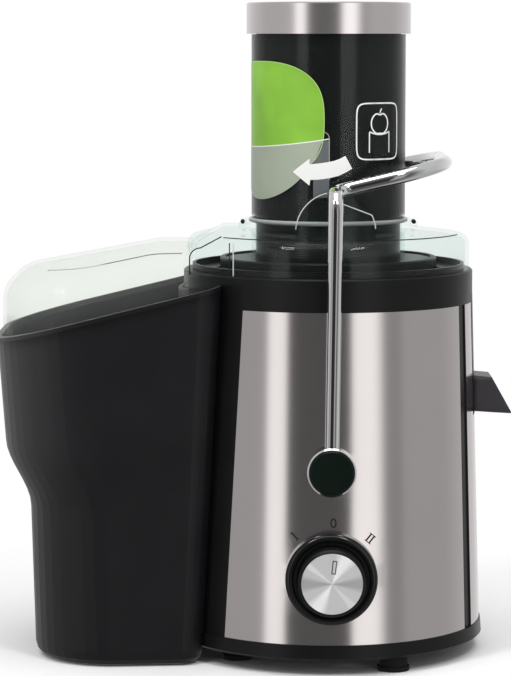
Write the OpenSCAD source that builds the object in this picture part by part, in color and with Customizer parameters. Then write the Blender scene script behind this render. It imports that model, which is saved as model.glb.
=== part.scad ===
// Centrifugal juicer with a side pulp bin, a lift-over locking arm and a wide round feed chute.
// Lengths are millimetres, +Z is up, the spout points to +X, the bin stands at -X, the knob faces -Y.
// Every sub-part is drawn about the motor's axis, then placed with the footprint's centre at the origin.

/* [Body] */
// Radius of the steel body where it meets the base ring
body_r_low = 88.7; // [86:0.1:93]
// Radius of the steel body under the collar
body_r_top = 83.4; // [82.5:0.1:85]
// Height of the steel body
body_h = 185.3; // [180:0.1:200]
// Height of the black collar above the steel
collar_h = 4.3; // [3:0.1:8]
// Wall of the plastic housing
shell_wall = 3; // [2.5:0.1:4]
// Thickness of the steel panels
panel_t = 0.8; // [0.6:0.1:1.2]
// Angle of the front panel's right edge, from straight ahead towards the spout
panel_right = 61; // [50:1:66]
// Width of the groove between the front and rear panels, in degrees
groove_angle = 6.5; // [4:0.5:10]
// Distance of the front panel's upper left corner from the middle
panel_left_top = 49; // [44:0.5:54]
// Distance of the front panel's lower left corner from the middle
panel_left_low = 59.4; // [55:0.5:62]

/* [Base and feet] */
// Radius of the base ring
base_r = 90; // [89.5:0.1:96]
// Height of the base ring
base_h = 8.6; // [7:0.1:12]
// Thickness of the base floor
base_floor_t = 3; // [2:0.1:4]
// Height of the rubber feet below the base
foot_h = 8.8; // [6:0.1:14]
// Radius of a foot where it meets the table
foot_r = 9.2; // [7:0.1:9.5]
// Place of the two feet on the spout side, along X
foot_right_x = 35.4; // [30:0.1:38]
// Place of the two feet on the spout side, along Y
foot_right_y = 70; // [60:0.5:71]
// Place of the two feet on the bin side, along X
foot_left_x = 52; // [45:0.5:55]
// Place of the two feet on the bin side, along Y
foot_left_y = 40; // [35:0.5:50]

/* [Juice bowl] */
// Height of the bowl's black band above the collar
band_h = 14; // [12:0.1:20]
// Radius of the bowl's outer wall inside the housing
bowl_r = 76; // [74.5:0.1:76.5]
// Wall of the bowl
bowl_wall = 2.5; // [2:0.1:3]
// Depth of the bowl below its band
bowl_depth = 66.5; // [64:0.1:69]
// Inner radius of the shelf round the basket
shelf_r = 66; // [65:0.1:68]
// Width of the spout
spout_w = 28; // [24:0.5:32]
// Reach of the spout's lower lip from the motor's axis
spout_reach = 106.4; // [100:0.1:115]
// Reach of the spout's upper edge from the motor's axis
spout_top_reach = 94.4; // [90:0.1:98]
// Height of the spout at its root
spout_h = 21; // [18:0.1:24]

/* [Lid and chute] */
// Radius of the lid's round wall
lid_r = 81.3; // [81:0.1:82.5]
// Height of the lid's wall
lid_wall_h = 20.5; // [18:0.1:26]
// Rise of the lid's top from its shoulder to the chute
lid_rise = 3.5; // [2.5:0.1:6]
// Wall of the lid
lid_t = 2.2; // [1.8:0.1:2.3]
// Bore of the feed chute
chute_bore = 85; // [75:0.5:85.5]
// Wall of the feed chute
chute_t = 1.8; // [1.4:0.1:2]
// Height of the chute above the lid's top
chute_h = 110.5; // [96:0.5:124]
// Radius of the saddles that the locking arm presses on
saddle_r = 22.4; // [20:0.1:23]
// Reach of the saddles from the motor's axis
saddle_y = 66; // [64:0.1:68]
// Half width of the pulp outlet at the lid's left side
outlet_y = 60; // [50:0.5:60]
// Distance of the outlet's square corners from the motor's axis
outlet_x = 78.8; // [76:0.1:80]

/* [Pusher] */
// Radial clearance of the pusher in the chute
pusher_gap = 0.9; // [0.5:0.1:1.5]
// Wall of the pusher
pusher_wall = 2.2; // [1.8:0.1:3]
// Radius of the steel cap
cap_r = 47.1; // [46:0.1:50]
// Height of the steel cap
cap_h = 18.3; // [14:0.1:24]

/* [Basket] */
// Radius of the grater disc
grater_r = 47.6; // [47.2:0.1:49]
// Number of rows of teeth on the grater disc
tooth_rows = 8; // [4:1:10]
// Teeth in a row
teeth_per_row = 8; // [4:1:9]
// Height of a tooth
tooth_h = 1.3; // [0.8:0.1:1.8]
// Outer radius of the basket's rim
rim_r = 62.5; // [61:0.1:63.5]
// Height of the basket's rim above the bowl's band
rim_above = 7; // [5:0.1:9]
// Thickness of the sieve
sieve_t = 0.8; // [0.6:0.1:1]
// Columns of openings round the sieve
sieve_columns = 30; // [18:1:36]
// Rows of openings up the sieve
sieve_rows = 3; // [2:1:4]

/* [Motor] */
// Width of the stator's square laminations
stator_w = 68; // [62:0.5:72]
// Height of the lamination stack
stack_h = 34; // [28:0.5:38]
// Radius of the armature
armature_r = 23.6; // [20:0.1:24]
// Air gap between armature and stator
air_gap = 0.6; // [0.4:0.1:1]
// Radius of the motor's shaft
shaft_r = 4; // [3.5:0.1:5]
// Number of armature slots
slot_count = 12; // [8:2:16]
// Radius of the cooling fan
fan_r = 36; // [30:0.5:40]
// Number of fan blades
fan_blades = 9; // [7:1:11]

/* [Locking arm] */
// Radius of the arm's rod
rod_r = 4; // [3.5:0.1:4.2]
// Distance of the arm's legs from the middle plane
arm_y = 92; // [91:0.1:94]
// Height of the arm's pivot above the base ring
pivot_h = 98.2; // [90:0.1:105]
// Reach of the arm's loop on the spout side
loop_x = 65.6; // [63:0.1:72]
// Distance of the loop's bars from the middle plane
loop_y = 61; // [60:0.1:62]
// Rise of the loop towards its closed end, in degrees
loop_tilt = 13.4; // [8:0.1:16]
// Lean of the legs at their upper end
arm_lean = 2; // [0:0.1:3]
// Radius of the arm's hubs
hub_r = 13.6; // [12:0.1:16]
// Thickness of the arm's hubs
hub_t = 9.2; // [8.6:0.1:11]

/* [Knob] */
// Height of the knob's axis above the base ring
knob_h = 38.3; // [34:0.1:44]
// Radius of the fixed black bezel
bezel_r = 25.6; // [24:0.1:28]
// Radius of the knob
knob_r = 18.8; // [16:0.1:19.5]
// Reach of the knob's face from the motor's axis
knob_reach = 107; // [104:0.1:112]
// Reach of the bezel's rim from the motor's axis
bezel_reach = 96.5; // [94:0.1:98]

/* [Pulp bin] */
// Reach of the bin's rim from the motor's axis
bin_reach = 189; // [180:0.5:200]
// Reach of the bin's narrower lower part
bin_low_reach = 170; // [160:0.5:175]
// Half depth of the bin at its rim
bin_y = 77; // [70:0.5:80]
// Half depth of the bin at its foot
bin_low_y = 67; // [62:0.5:70]
// Wall of the bin
bin_wall = 2.5; // [2:0.1:3]
// Gap between the bin and the body
bin_gap = 0.8; // [0.6:0.1:1.5]
// Slope of the bin's rim
rim_slope = 0.245; // [0.2:0.005:0.27]
// Height of the bin's clear cover above the lid's seat
cover_rise = 17; // [14:0.1:19]
// Slope of the cover's top
cover_slope = 0.165; // [0.12:0.005:0.2]
// Wall of the cover
cover_t = 2.2; // [1.8:0.1:2.6]

/* [Fits] */
// Gap between faces of pieces that move on each other
seat_gap = 0.25; // [0.2:0.05:0.4]
// Radial clearance of a running pin or shaft
run_gap = 0.05; // [0.03:0.01:0.1]
// Clearance between fixed pieces that push together
push_gap = 0.1; // [0.05:0.05:0.2]
// Clearance of a press fit
grip_gap = 0.02; // [0.01:0.01:0.05]

/* [Hidden] */
$fn = 96;
eps = 0.01;

// Levels, from the table up.
z_base = foot_h;
z_body = z_base + base_h;
z_collar = z_body + body_h;
z_band = z_collar + collar_h;
z_lid = z_band + band_h;
z_shoulder = z_lid + lid_wall_h;
z_lid_top = z_shoulder + lid_rise;
z_chute = z_lid_top + chute_h;
z_bowl = z_band - bowl_depth;
deck_gap = 4;
deck_t = 3.5;
z_deck = z_bowl - deck_gap - deck_t;
pivot_z = z_body + pivot_h;
knob_z = z_body + knob_h;

// The body is one cone from the base ring to the collar.
function body_r(z) = body_r_low + (body_r_top - body_r_low) * (z - z_body) / body_h;
recess_r = bowl_r + 2.2;

// The basket hangs between the bowl's floor and the lid.
hub_skirt_h = 13;
z_hub = z_bowl + 22.5;
hub_plate_t = 4;
z_grater = z_hub + hub_plate_t;
grater_t = 1;
z_rim = z_lid + rim_above;
rim_h = 6;
sieve_r_top = rim_r - 2.2;
chute_end_gap = 3.5;
z_chute_end = z_grater + grater_t + tooth_h + chute_end_gap;
chute_r = chute_bore / 2 + chute_t;
z_pusher_end = z_chute_end + 1;

// The locking arm lies in a notch of the saddles.
saddle_x = 2.5;
z_saddle = z_lid_top + 1;
notch_z = z_saddle + 17.7;
notch_slope = 0.375;
notch_flat = 1;
arm_top_z = notch_z + seat_gap + rod_r;
leg_h = arm_top_z - pivot_z;
leg_angle = atan(arm_lean / leg_h);
leg_run = leg_h / cos(leg_angle);
leg_root = hub_r - 0.7;
bend_r = 10;
loop_bend_r = 38;

// The motor hangs below the deck.
mount_t = 2;
bracket_t = 7;
winding_h = 8;
winding_gap = 3;
comm_h = 12;
comm_r = 11;
fan_h = 8;
motor_gap = 4;
motor_h = fan_h + 2 * motor_gap + 2 * bracket_t + comm_h + stack_h + 2 * winding_h + winding_gap + mount_t;
// what the motor leaves of the room under the deck is shared by its posts and the space under the fan
spare_h = z_deck - z_base - base_floor_t - motor_h;
post_h = 0.54 * spare_h;
z_bracket = z_deck - post_h - mount_t;
z_stack_top = z_bracket - bracket_t - winding_gap - winding_h;
z_stack = z_stack_top - stack_h;
z_comm = z_stack - winding_h - comm_h;
z_low_bracket = z_comm - motor_gap - bracket_t;
z_fan = z_low_bracket - motor_gap - fan_h;
stud_in_post = 0.6 * post_h;
fan_plate_t = 1.4;
z_shaft_end = z_fan - 1;
bearing_r = 11;
mount_place = 27;
stud_r = 1.5;
stator_corner_r = stator_w / 2 * 1.24;

// Knob and switch.
switch_face_y = 80;
switch_shaft_r = 3;
bezel_t = 3.2;
knob_floor = bezel_reach - 7;

// Bin and cover.
foot_corner_r = 45;
bin_lip = 1.5;
cover_gap = 0.6;
horn_r = 14;
horn_x = 61;
step_low = z_body + 70;
step_high = z_body + 109;
cover_end_x = outlet_x + cover_gap;
cover_nest = 3;
function rim_z(x) = z_lid - 4.9 + (x + horn_x) * rim_slope;
function cover_z(x) = z_lid + cover_rise + (x + outlet_x) * cover_slope;
function ease(t) = t <= 0 ? 0 : t >= 1 ? 1 : t * t * (3 - 2 * t);

// The origin is the centre of the footprint's box.
axis_x = (bin_reach + bin_lip - spout_reach) / 2;
axis_y = (knob_reach - (arm_y + hub_t / 2 + 1.6)) / 2;

module placed() {
  translate([axis_x, axis_y, 0]) children();
}

// A ring or disc between two radii.
module ring(r_out, r_in, z, h) {
  translate([0, 0, z]) difference() {
    cylinder(r = r_out, h = h);
    translate([0, 0, -1]) cylinder(r = r_in, h = h + 2);
  }
}

// A cylinder along Y from y0 to y1, at height z.
module y_rod(r, y0, y1, z, x = 0) {
  translate([x, y0, z]) rotate([-90, 0, 0]) cylinder(r = r, h = y1 - y0);
}

// The body's cone grown by d, between two levels.
module body_cone(d, z0, z1) {
  translate([0, 0, z0]) cylinder(r1 = body_r(z0) + d, r2 = body_r(z1) + d, h = z1 - z0);
}

module rounded_rect(w, h, r) {
  hull() for (x = [-1, 1], y = [-1, 1]) translate([x * (w / 2 - r), y * (h / 2 - r)]) circle(r = r, $fn = 32);
}

module at_feet() {
  for (s = [-1, 1]) {
    translate([foot_right_x, s * foot_right_y, 0]) children();
    translate([-foot_left_x, s * foot_left_y, 0]) children();
  }
}

screw_place = 62;
screw_r = 1.7;
module at_base_screws() {
  for (a = [20, 100, 200, 280]) rotate([0, 0, a]) translate([screw_place, 0, 0]) children();
}

vent_count = 14;
gland_z = z_body + 12;

module base_pan() placed() color("#1b1b1d") difference() {
  union() {
    translate([0, 0, z_base]) rotate_extrude() polygon([
      [0, 0], [base_r - 1.2, 0], [base_r, 1.2], [base_r - 0.6, base_h], [body_r_low - shell_wall - 3, base_h],
      [body_r_low - shell_wall - 3, base_floor_t], [0, base_floor_t]]);
    at_base_screws() translate([0, 0, z_base]) cylinder(r = 5, h = base_h);
  }
  at_feet() translate([0, 0, z_base - 1]) cylinder(r = 3 + push_gap, h = base_h + 2);
  at_base_screws() {
    translate([0, 0, z_base - 1]) cylinder(r = screw_r + 2 * push_gap, h = base_h + 2);
    translate([0, 0, z_base - 1]) cylinder(r = 3.6, h = 1 + 2.2);
  }
  for (i = [0:vent_count - 1]) rotate([0, 0, i * 360 / vent_count]) translate([16, -1.4, z_base - 1])
    cube([20, 2.8, base_floor_t + 2]);
}

module feet() placed() color("#151515") at_feet() {
  cylinder(r = foot_r, h = 2.6);
  cylinder(r = foot_r - 1, h = foot_h);
  cylinder(r = 3, h = foot_h + base_floor_t + 1.5);
}

module base_screws() placed() color("#8e9094") at_base_screws() difference() {
  translate([0, 0, z_base + 0.3]) union() {
    cylinder(r = 3.3, h = 1.9);
    cylinder(r = screw_r, h = base_h + 9);
  }
  for (a = [0, 90]) rotate([0, 0, a]) translate([-2, -0.4, z_base]) cube([4, 0.8, 1.2]);
}

// Bushing of the mains lead, low on the rear.
module cord_gland() placed() color("#151515") difference() {
  union() {
    y_rod(6, body_r(gland_z) - 6, body_r(gland_z) + 0.4, gland_z);
    y_rod(8, body_r(gland_z) + 0.4, body_r(gland_z) + 2.6, gland_z);
  }
  y_rod(3.4, body_r(gland_z) - 8, body_r(gland_z) + 4, gland_z);
}

spout_z = z_bowl - 1.3;
slot_z = spout_z - 2;
slot_w = spout_w + 6.6;
pad_depth = 13;
pin_depth = 8;
pin_r = 5;

module spout_slot(grow, top) {
  translate([body_r_top - 25, -slot_w / 2 - grow, slot_z]) cube([50, slot_w + 2 * grow, top - slot_z]);
}

module body_shell() placed() color("#1d1d20") difference() {
  union() {
    difference() {
      body_cone(-panel_t - push_gap, z_body, z_collar);
      body_cone(-panel_t - shell_wall, z_body - 1, z_deck);
      translate([0, 0, z_deck + deck_t]) cylinder(r = recess_r, h = bowl_depth + 20);
    }
    // the black column behind the bin stands flush with the panels
    intersection() {
      difference() {
        body_cone(0, z_body, z_collar);
        body_cone(-panel_t - 1, z_body - 1, z_collar + 1);
      }
      column_prism();
    }
    ring(body_r_top, recess_r, z_collar, collar_h);
    // posts that carry the motor
    at_mounts() translate([0, 0, z_deck - post_h]) cylinder(r = 6, h = post_h + eps);
    // bosses for the base screws
    at_base_screws() translate([0, 0, z_body]) cylinder(r = 5, h = 22);
    at_base_screws() translate([0, -1.2, z_body]) cube([body_r_low - screw_place - shell_wall, 2.4, 20]);
    // pads that hold the arm's pivot pins
    for (m = [0, 1]) mirror([0, m, 0]) y_rod(11, -body_r(pivot_z) + panel_t + 1, -body_r(pivot_z) + pad_depth, pivot_z);
  }
  translate([0, 0, z_deck - 1]) cylinder(r = 13, h = deck_t + 2);
  for (m = [0, 1]) mirror([0, m, 0]) y_rod(pin_r + push_gap, -body_r_low - 2, -body_r(pivot_z) + pin_depth, pivot_z);
  y_rod(bezel_r - bezel_t, -body_r_low - 2, -70, knob_z);
  y_rod(6 + push_gap, body_r(gland_z) - 12, body_r(gland_z) + 2, gland_z);
  spout_slot(0, z_band + 1);
  at_base_screws() translate([0, 0, z_body - 1]) cylinder(r = screw_r + push_gap, h = 21);
  at_mounts() translate([0, 0, z_deck - post_h - 1]) cylinder(r = stud_r + push_gap, h = stud_in_post + 2);
}

// The panels' left edges lean: X of the edge at a level.
function column_x(z) = -panel_left_low + (panel_left_low - panel_left_top) * (z - z_body) / body_h;

// The column between the two panels' left edges, as a prism with a leaning side.
module column_prism() {
  rotate([90, 0, 0]) translate([0, 0, -120]) linear_extrude(height = 240) polygon([
    [-130, z_body - 10], [column_x(z_body - 10), z_body - 10],
    [column_x(z_collar + 10), z_collar + 10], [-130, z_collar + 10]]);
}

module panel_wall(z0, z1) {
  difference() {
    body_cone(0, z0, z1);
    body_cone(-panel_t, z0 - 1, z1 + 1);
  }
}

panel_low_gap = 0.1;

// Wedge of the plan from angle a0 to a1, counted from +X.
module plan_wedge(a0, a1) {
  translate([0, 0, z_body - 5]) linear_extrude(height = body_h + 10)
    polygon(concat([[0, 0]], [for (i = [0:6]) let(a = a0 + (a1 - a0) * i / 6) 150 * [cos(a), sin(a)]]));
}

module front_panel() placed() color("#b9b6b4") difference() {
  intersection() {
    panel_wall(z_body + panel_low_gap, z_collar - panel_low_gap);
    plan_wedge(-175, -90 + panel_right);
  }
  column_prism();
  y_rod(6.5, -body_r_low - 2, -body_r_top + 6, pivot_z);
  y_rod(bezel_r - bezel_t + 0.2, -body_r_low - 2, -70, knob_z);
}

module rear_panel() placed() color("#b9b6b4") difference() {
  intersection() {
    panel_wall(z_body + panel_low_gap, z_collar - panel_low_gap);
    plan_wedge(-90 + panel_right + groove_angle, 175);
  }
  column_prism();
  y_rod(6.5, body_r_top - 6, body_r_low + 2, pivot_z);
  y_rod(6 + push_gap, body_r_top - 6, body_r_low + 2, gland_z);
  spout_slot(0, z_band + 1);
}

lip_h = 3.5;
tube_r = 19.5;
tube_h = 20;

module juice_bowl() placed() color("#1a1a1c") difference() {
  union() {
    rotate_extrude() polygon([
      [tube_r - bowl_wall, z_bowl], [bowl_r, z_bowl], [bowl_r, z_band], [body_r_top, z_band],
      [body_r_top, z_lid - 0.8], [body_r_top - 0.8, z_lid], [lid_r - lid_t - 0.7, z_lid],
      [lid_r - lid_t - 0.7, z_lid + lip_h], [lid_r - lid_t - 2.6, z_lid + lip_h], [lid_r - lid_t - 2.6, z_lid],
      [shelf_r, z_lid - 0.6], [shelf_r, z_lid - 3], [bowl_r - bowl_wall, z_lid - 4.5],
      [bowl_r - bowl_wall, z_bowl + bowl_wall], [tube_r, z_bowl + bowl_wall], [tube_r, z_bowl + tube_h],
      [tube_r - bowl_wall, z_bowl + tube_h]]);
    // apron that closes the housing's slot above the spout
    intersection() {
      difference() {
        body_cone(0.2, slot_z + 0.3, z_band + eps);
        translate([0, 0, slot_z - 1]) cylinder(r = bowl_r - 1, h = bowl_depth + 20);
      }
      translate([40, -slot_w / 2 + 0.3, slot_z]) cube([80, slot_w - 0.6, bowl_depth + 20]);
    }
    // spout, cut off at a slant
    intersection() {
      rotate([90, 0, 0]) translate([0, 0, -40]) linear_extrude(height = 80) polygon([
        [bowl_r - bowl_wall, spout_z + spout_h + 0.5], [spout_top_reach, spout_z + spout_h - 1.5],
        [spout_reach, spout_z - 1.9], [body_r_top, spout_z - 0.2], [bowl_r - bowl_wall, spout_z]]);
      translate([60, 0, spout_z + spout_h / 2 - 0.7]) rotate([90, 0, 90]) linear_extrude(height = 60)
        rounded_rect(spout_w, spout_h + 2.8, 5);
    }
  }
  translate([60, 0, spout_z + spout_h / 2 + 0.6]) rotate([90, 0, 90]) linear_extrude(height = 60)
    rounded_rect(spout_w - 2 * bowl_wall, spout_h - 5.6, 3.5);
}

module shaft_seal() placed() color("#2a2a2c") difference() {
  union() {
    ring(13 - push_gap, shaft_r + 0.35, z_deck, deck_t);
    ring(15.5, shaft_r + 0.35, z_deck + deck_t, 1.2);
    ring(8, shaft_r + 0.35, z_deck + deck_t + 1, 2);
  }
}

module knob_bezel() placed() color("#141414") difference() {
  union() {
    difference() {
      y_rod(bezel_r, -bezel_reach + 2, -70, knob_z);
      body_cone(0.1, z_body, z_collar);
      translate([-100, -body_r_top + 10, 0]) cube([200, 100, 200]);
    }
    // rounded rim
    translate([0, -bezel_reach + 2.6, knob_z]) rotate([90, 0, 0]) rotate_extrude()
      translate([bezel_r - 2.6, 0]) circle(r = 2.6);
    y_rod(bezel_r - 2.6, -bezel_reach + 1, -bezel_reach + 6, knob_z);
    y_rod(bezel_r - bezel_t - 0.3, -bezel_reach + 2, -switch_face_y, knob_z);
  }
  y_rod(knob_r + 0.6, -bezel_reach - 2, -knob_floor, knob_z);
  y_rod(4.2, -knob_floor - 5, -60, knob_z);
}

module speed_knob() placed() color("#161616") difference() {
  union() {
    y_rod(knob_r, -knob_reach + 1.2, -knob_floor - 0.3, knob_z);
    translate([0, -knob_reach + 1.2, knob_z]) rotate([90, 0, 0]) cylinder(r1 = knob_r, r2 = knob_r - 1.2, h = 1.2);
  }
  y_rod(knob_r - 1.8, -knob_reach - 1, -knob_reach + 0.8, knob_z);
  y_rod(switch_shaft_r + grip_gap, -knob_reach + 5, -knob_floor + 5, knob_z);
  // hollow behind the face
  difference() {
    y_rod(knob_r - 2.4, -knob_reach + 4, -knob_floor + 2, knob_z);
    y_rod(6, -knob_reach + 3, -knob_floor + 3, knob_z);
    for (a = [0:60:150]) translate([0, 0, knob_z]) rotate([0, a, 0]) translate([-knob_r, -knob_reach, -0.7])
      cube([2 * knob_r, 30, 1.4]);
  }
}

module knob_face() placed() color("#c9c9cb") difference() {
  y_rod(knob_r - 1.9, -knob_reach, -knob_reach + 0.8, knob_z);
  translate([-0.7, -knob_reach - 1, knob_z + knob_r - 8.6]) cube([1.4, 1.3, 5.6]);
}

module switch_shaft() placed() color("#d6d6d6")
  y_rod(switch_shaft_r, -knob_reach + 5.5, -switch_face_y + 14, knob_z);

module rotary_switch() placed() color("#3b3b3f") difference() {
  union() {
    translate([-15, -switch_face_y, knob_z - 15]) cube([30, 16.3, 30]);
    y_rod(4.1, -knob_floor + 1.5, -switch_face_y + 1, knob_z);
    for (x = [-9, -3, 3, 9]) translate([x - 1.2, -switch_face_y + 16, knob_z - 3]) cube([2.4, 7, 0.8]);
  }
  y_rod(switch_shaft_r + run_gap, -knob_floor - 1, -switch_face_y + 15, knob_z);
}

// Safety switch beside the front pivot, worked by the arm's pin.
module interlock_switch() placed() color("#7a1f1f") {
  translate([-9, -body_r(pivot_z) + pad_depth, pivot_z - 32]) cube([18, 9, 30]);
  for (x = [-5, 3]) translate([x, -body_r(pivot_z) + pad_depth + 8, pivot_z - 28]) cube([2.4, 6, 0.8]);
}

module pivot_pins() placed() color("#a9abb0") for (m = [0, 1]) mirror([0, m, 0])
  y_rod(pin_r, -arm_y - hub_t / 2 + 2.4, -body_r(pivot_z) + pin_depth, pivot_z);

// One side of the arm: the hub, the leg, the bend over the saddle and the bar out to the loop.
module arm_half() {
  difference() {
    union() {
      y_rod(hub_r, -arm_y - hub_t / 2 + 0.8, -arm_y + hub_t / 2, pivot_z);
      translate([0, -arm_y - hub_t / 2 + 0.8, pivot_z]) rotate([90, 0, 0])
        cylinder(r1 = hub_r, r2 = hub_r - 0.8, h = 0.8);
    }
    y_rod(pin_r + run_gap, -arm_y - hub_t / 2 + 2, -arm_y + hub_t, pivot_z);
    y_rod(hub_r - 1.1, -arm_y - hub_t / 2 - 1, -arm_y - hub_t / 2 + 1.2, pivot_z);
  }
  translate([0, -arm_y, pivot_z]) rotate([0, leg_angle, 0]) {
    straight(leg_run - leg_root - bend_r, leg_root);
    // bend from the leg to the short run over the saddle
    translate([0, bend_r, leg_run - bend_r]) rotate([0, -90, 0]) rotate([0, 0, -90]) bend(bend_r);
  }
  translate([arm_lean, 0, arm_top_z]) {
    rotate([-90, 0, 0]) straight(arm_y - loop_y - 2 * bend_r, -arm_y + bend_r);
    rotate([0, -loop_tilt, 0]) {
      // bend from the short run to the bar
      translate([bend_r, -loop_y - bend_r, 0]) rotate([0, 0, 90]) bend(bend_r);
      translate([0, -loop_y, 0]) rotate([0, 90, 0]) straight(bar_run - bend_r - loop_bend_r, bend_r);
      // wide corner of the loop
      translate([bar_run - loop_bend_r, -loop_y + loop_bend_r, 0]) rotate([0, 0, -90]) bend(loop_bend_r);
    }
  }
}

// The rod's straight runs lap into its bends.
rod_lap = 0.4;
module straight(length, start) {
  translate([0, 0, start - rod_lap]) cylinder(r = rod_r, h = length + 2 * rod_lap);
}

module bend(r) {
  rotate_extrude(angle = 90) translate([r, 0]) circle(r = rod_r + 0.03);
}

bar_run = (loop_x - arm_lean) / cos(loop_tilt);

module lock_arm() placed() color("#c8c9cc") {
  arm_half();
  mirror([0, 1, 0]) arm_half();
  // the loop's closed end
  translate([arm_lean, 0, arm_top_z]) rotate([0, -loop_tilt, 0]) translate([bar_run, 0, 0]) rotate([-90, 0, 0])
    straight(2 * (loop_y - loop_bend_r), loop_bend_r - loop_y);
}

module hub_cap() {
  y_rod(hub_r - 1.2, -arm_y - hub_t / 2 - 0.8, -arm_y - hub_t / 2 + 1.2, pivot_z);
  translate([0, -arm_y - hub_t / 2 - 0.8, pivot_z]) rotate([90, 0, 0])
    cylinder(r1 = hub_r - 1.2, r2 = hub_r - 2, h = 0.8);
}

module hub_cap_front() placed() color("#101412") hub_cap();
module hub_cap_rear() placed() color("#101412") mirror([0, 1, 0]) hub_cap();

lid_fillet = 6;
bead_r = 48;
bead_h = 4.7;
clip_r = 2.4;
clip_h = 2.6;

// Points of a quarter round from the wall to the top, about the centre [cx, cz].
function quarter(cx, cz, r, steps = 8) = [for (i = [0:steps]) [cx + r * cos(90 * i / steps), cz + r * sin(90 * i / steps)]];

duct_top = z_lid + cover_rise - 1;
duct_knee = 61;
duct_back = 45;

// Side view of the pulp outlet, or of its inside when inset by the wall.
module duct_outline(inset) {
  hull() {
    translate([-outlet_x + lid_fillet, duct_top - lid_fillet]) circle(r = lid_fillet - inset, $fn = 32);
    translate([-outlet_x + inset, z_lid + seat_gap]) square([1, 4]);
    translate([-duct_knee, z_lid + seat_gap]) square([duct_knee - duct_back, lid_wall_h + 1.8 - inset - seat_gap]);
  }
}

// Room for the arm's rod on a saddle, with the ramp by which it leaves; drop leaves a roof under it.
module notch_prism(drop, y_in) {
  rotate([90, 0, 0]) translate([0, 0, y_in]) linear_extrude(height = 60) polygon([
    [arm_lean - rod_r - seat_gap - drop, notch_z + 40], [arm_lean - rod_r - seat_gap - drop, notch_z - drop],
    [arm_lean - notch_flat, notch_z - drop],
    [arm_lean + 30, notch_z - drop - (notch_flat + 30) * notch_slope], [arm_lean + 30, notch_z + 40]]);
}

saddle_in = 30;
notch_in = chute_r + 0.6;

module lid() placed() color("#c9d8d2", 0.5) difference() {
  union() {
    difference() {
      union() {
        rotate_extrude() polygon(concat(
          [[0, z_lid + seat_gap], [lid_r, z_lid + seat_gap]],
          quarter(lid_r - lid_fillet, z_shoulder - lid_fillet, lid_fillet),
          [[bead_r, z_lid_top], [bead_r, z_lid_top + bead_h], [0, z_lid_top + bead_h]]));
        // square corners that carry the pulp outlet over the bin
        rotate([90, 0, 0]) translate([0, 0, -outlet_y]) linear_extrude(height = 2 * outlet_y) duct_outline(0);
        for (m = [0, 1]) mirror([0, m, 0]) difference() {
          y_rod(saddle_r, -saddle_y, -saddle_in, z_saddle, saddle_x);
          translate([saddle_x - 30, -saddle_y - 1, z_shoulder - 40]) cube([60, 40, 40]);
        }
        // clips beside the chute's collar
        for (m = [0, 1]) mirror([m, 0, 0]) translate([bead_r + 1.4, 0, z_lid_top - 1]) cylinder(r = clip_r, h = clip_h + 1);
      }
      // the inside
      rotate_extrude() polygon(concat(
        [[0, z_lid - 1], [lid_r - lid_t, z_lid - 1]],
        quarter(lid_r - lid_fillet, z_shoulder - lid_fillet, lid_fillet - lid_t),
        [[bead_r, z_lid_top - lid_t], [0, z_lid_top - lid_t]]));
      // way out to the bin
      rotate([90, 0, 0]) translate([0, 0, -outlet_y + lid_t]) linear_extrude(height = 2 * (outlet_y - lid_t)) {
        duct_outline(lid_t);
        translate([-120, z_lid - 5]) square([120 - duct_back, duct_top - lid_fillet - z_lid + 5]);
      }
      // the saddles are open to the inside
      for (m = [0, 1]) mirror([0, m, 0]) difference() {
        y_rod(saddle_r - lid_t, -saddle_y + lid_t, -saddle_in + 1, z_saddle, saddle_x);
        notch_prism(lid_t, notch_in - lid_t);
      }
    }
    translate([0, 0, z_chute_end]) cylinder(r = chute_r, h = z_chute - z_chute_end);
  }
  translate([0, 0, z_chute_end - 1]) cylinder(r = chute_bore / 2, h = z_chute - z_chute_end + 2);
  for (m = [0, 1]) mirror([0, m, 0]) notch_prism(0, notch_in);
}

head_h = 4;

module pusher() placed() color("#131314") difference() {
  union() {
    translate([0, 0, z_pusher_end]) cylinder(r = chute_bore / 2 - pusher_gap, h = z_chute + seat_gap - z_pusher_end + eps);
    translate([0, 0, z_chute + seat_gap]) cylinder(r = cap_r - 1.2, h = head_h);
    ring(cap_r - 1.2, cap_r - 4, z_chute + seat_gap, cap_h - 1.9);
  }
  translate([0, 0, z_pusher_end + pusher_wall]) cylinder(r = chute_bore / 2 - pusher_gap - pusher_wall, h = chute_h + 200);
}

module pusher_cap() placed() color("#c4c1c0") rotate_extrude() polygon([
  [cap_r - 1.1, z_chute + seat_gap], [cap_r, z_chute + seat_gap], [cap_r, z_chute + seat_gap + cap_h - 1.2],
  [cap_r - 1.2, z_chute + seat_gap + cap_h - 0.5], [0, z_chute + seat_gap + cap_h],
  [0, z_chute + seat_gap + cap_h - 1.1], [cap_r - 1.1, z_chute + seat_gap + cap_h - 1.7]]);

// A quarter round of the plan, from angle a.
function corner(cx, cy, r, a, steps = 10) =
  [for (i = [0:steps]) [cx + r * cos(a + 90 * i / steps), cy + r * sin(a + 90 * i / steps)]];

// Plan of the bin at one level: wide corners on the far side, horns that reach round the body.
function bin_outline(left, half_y, tip, inset) = concat(
  corner(-tip - horn_r, half_y - horn_r - 3, horn_r - inset, 0),
  corner(-left + foot_corner_r, half_y - foot_corner_r, foot_corner_r - inset, 90),
  corner(-left + foot_corner_r, foot_corner_r - half_y, foot_corner_r - inset, 180),
  corner(-tip - horn_r, horn_r + 3 - half_y, horn_r - inset, 270));

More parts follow.
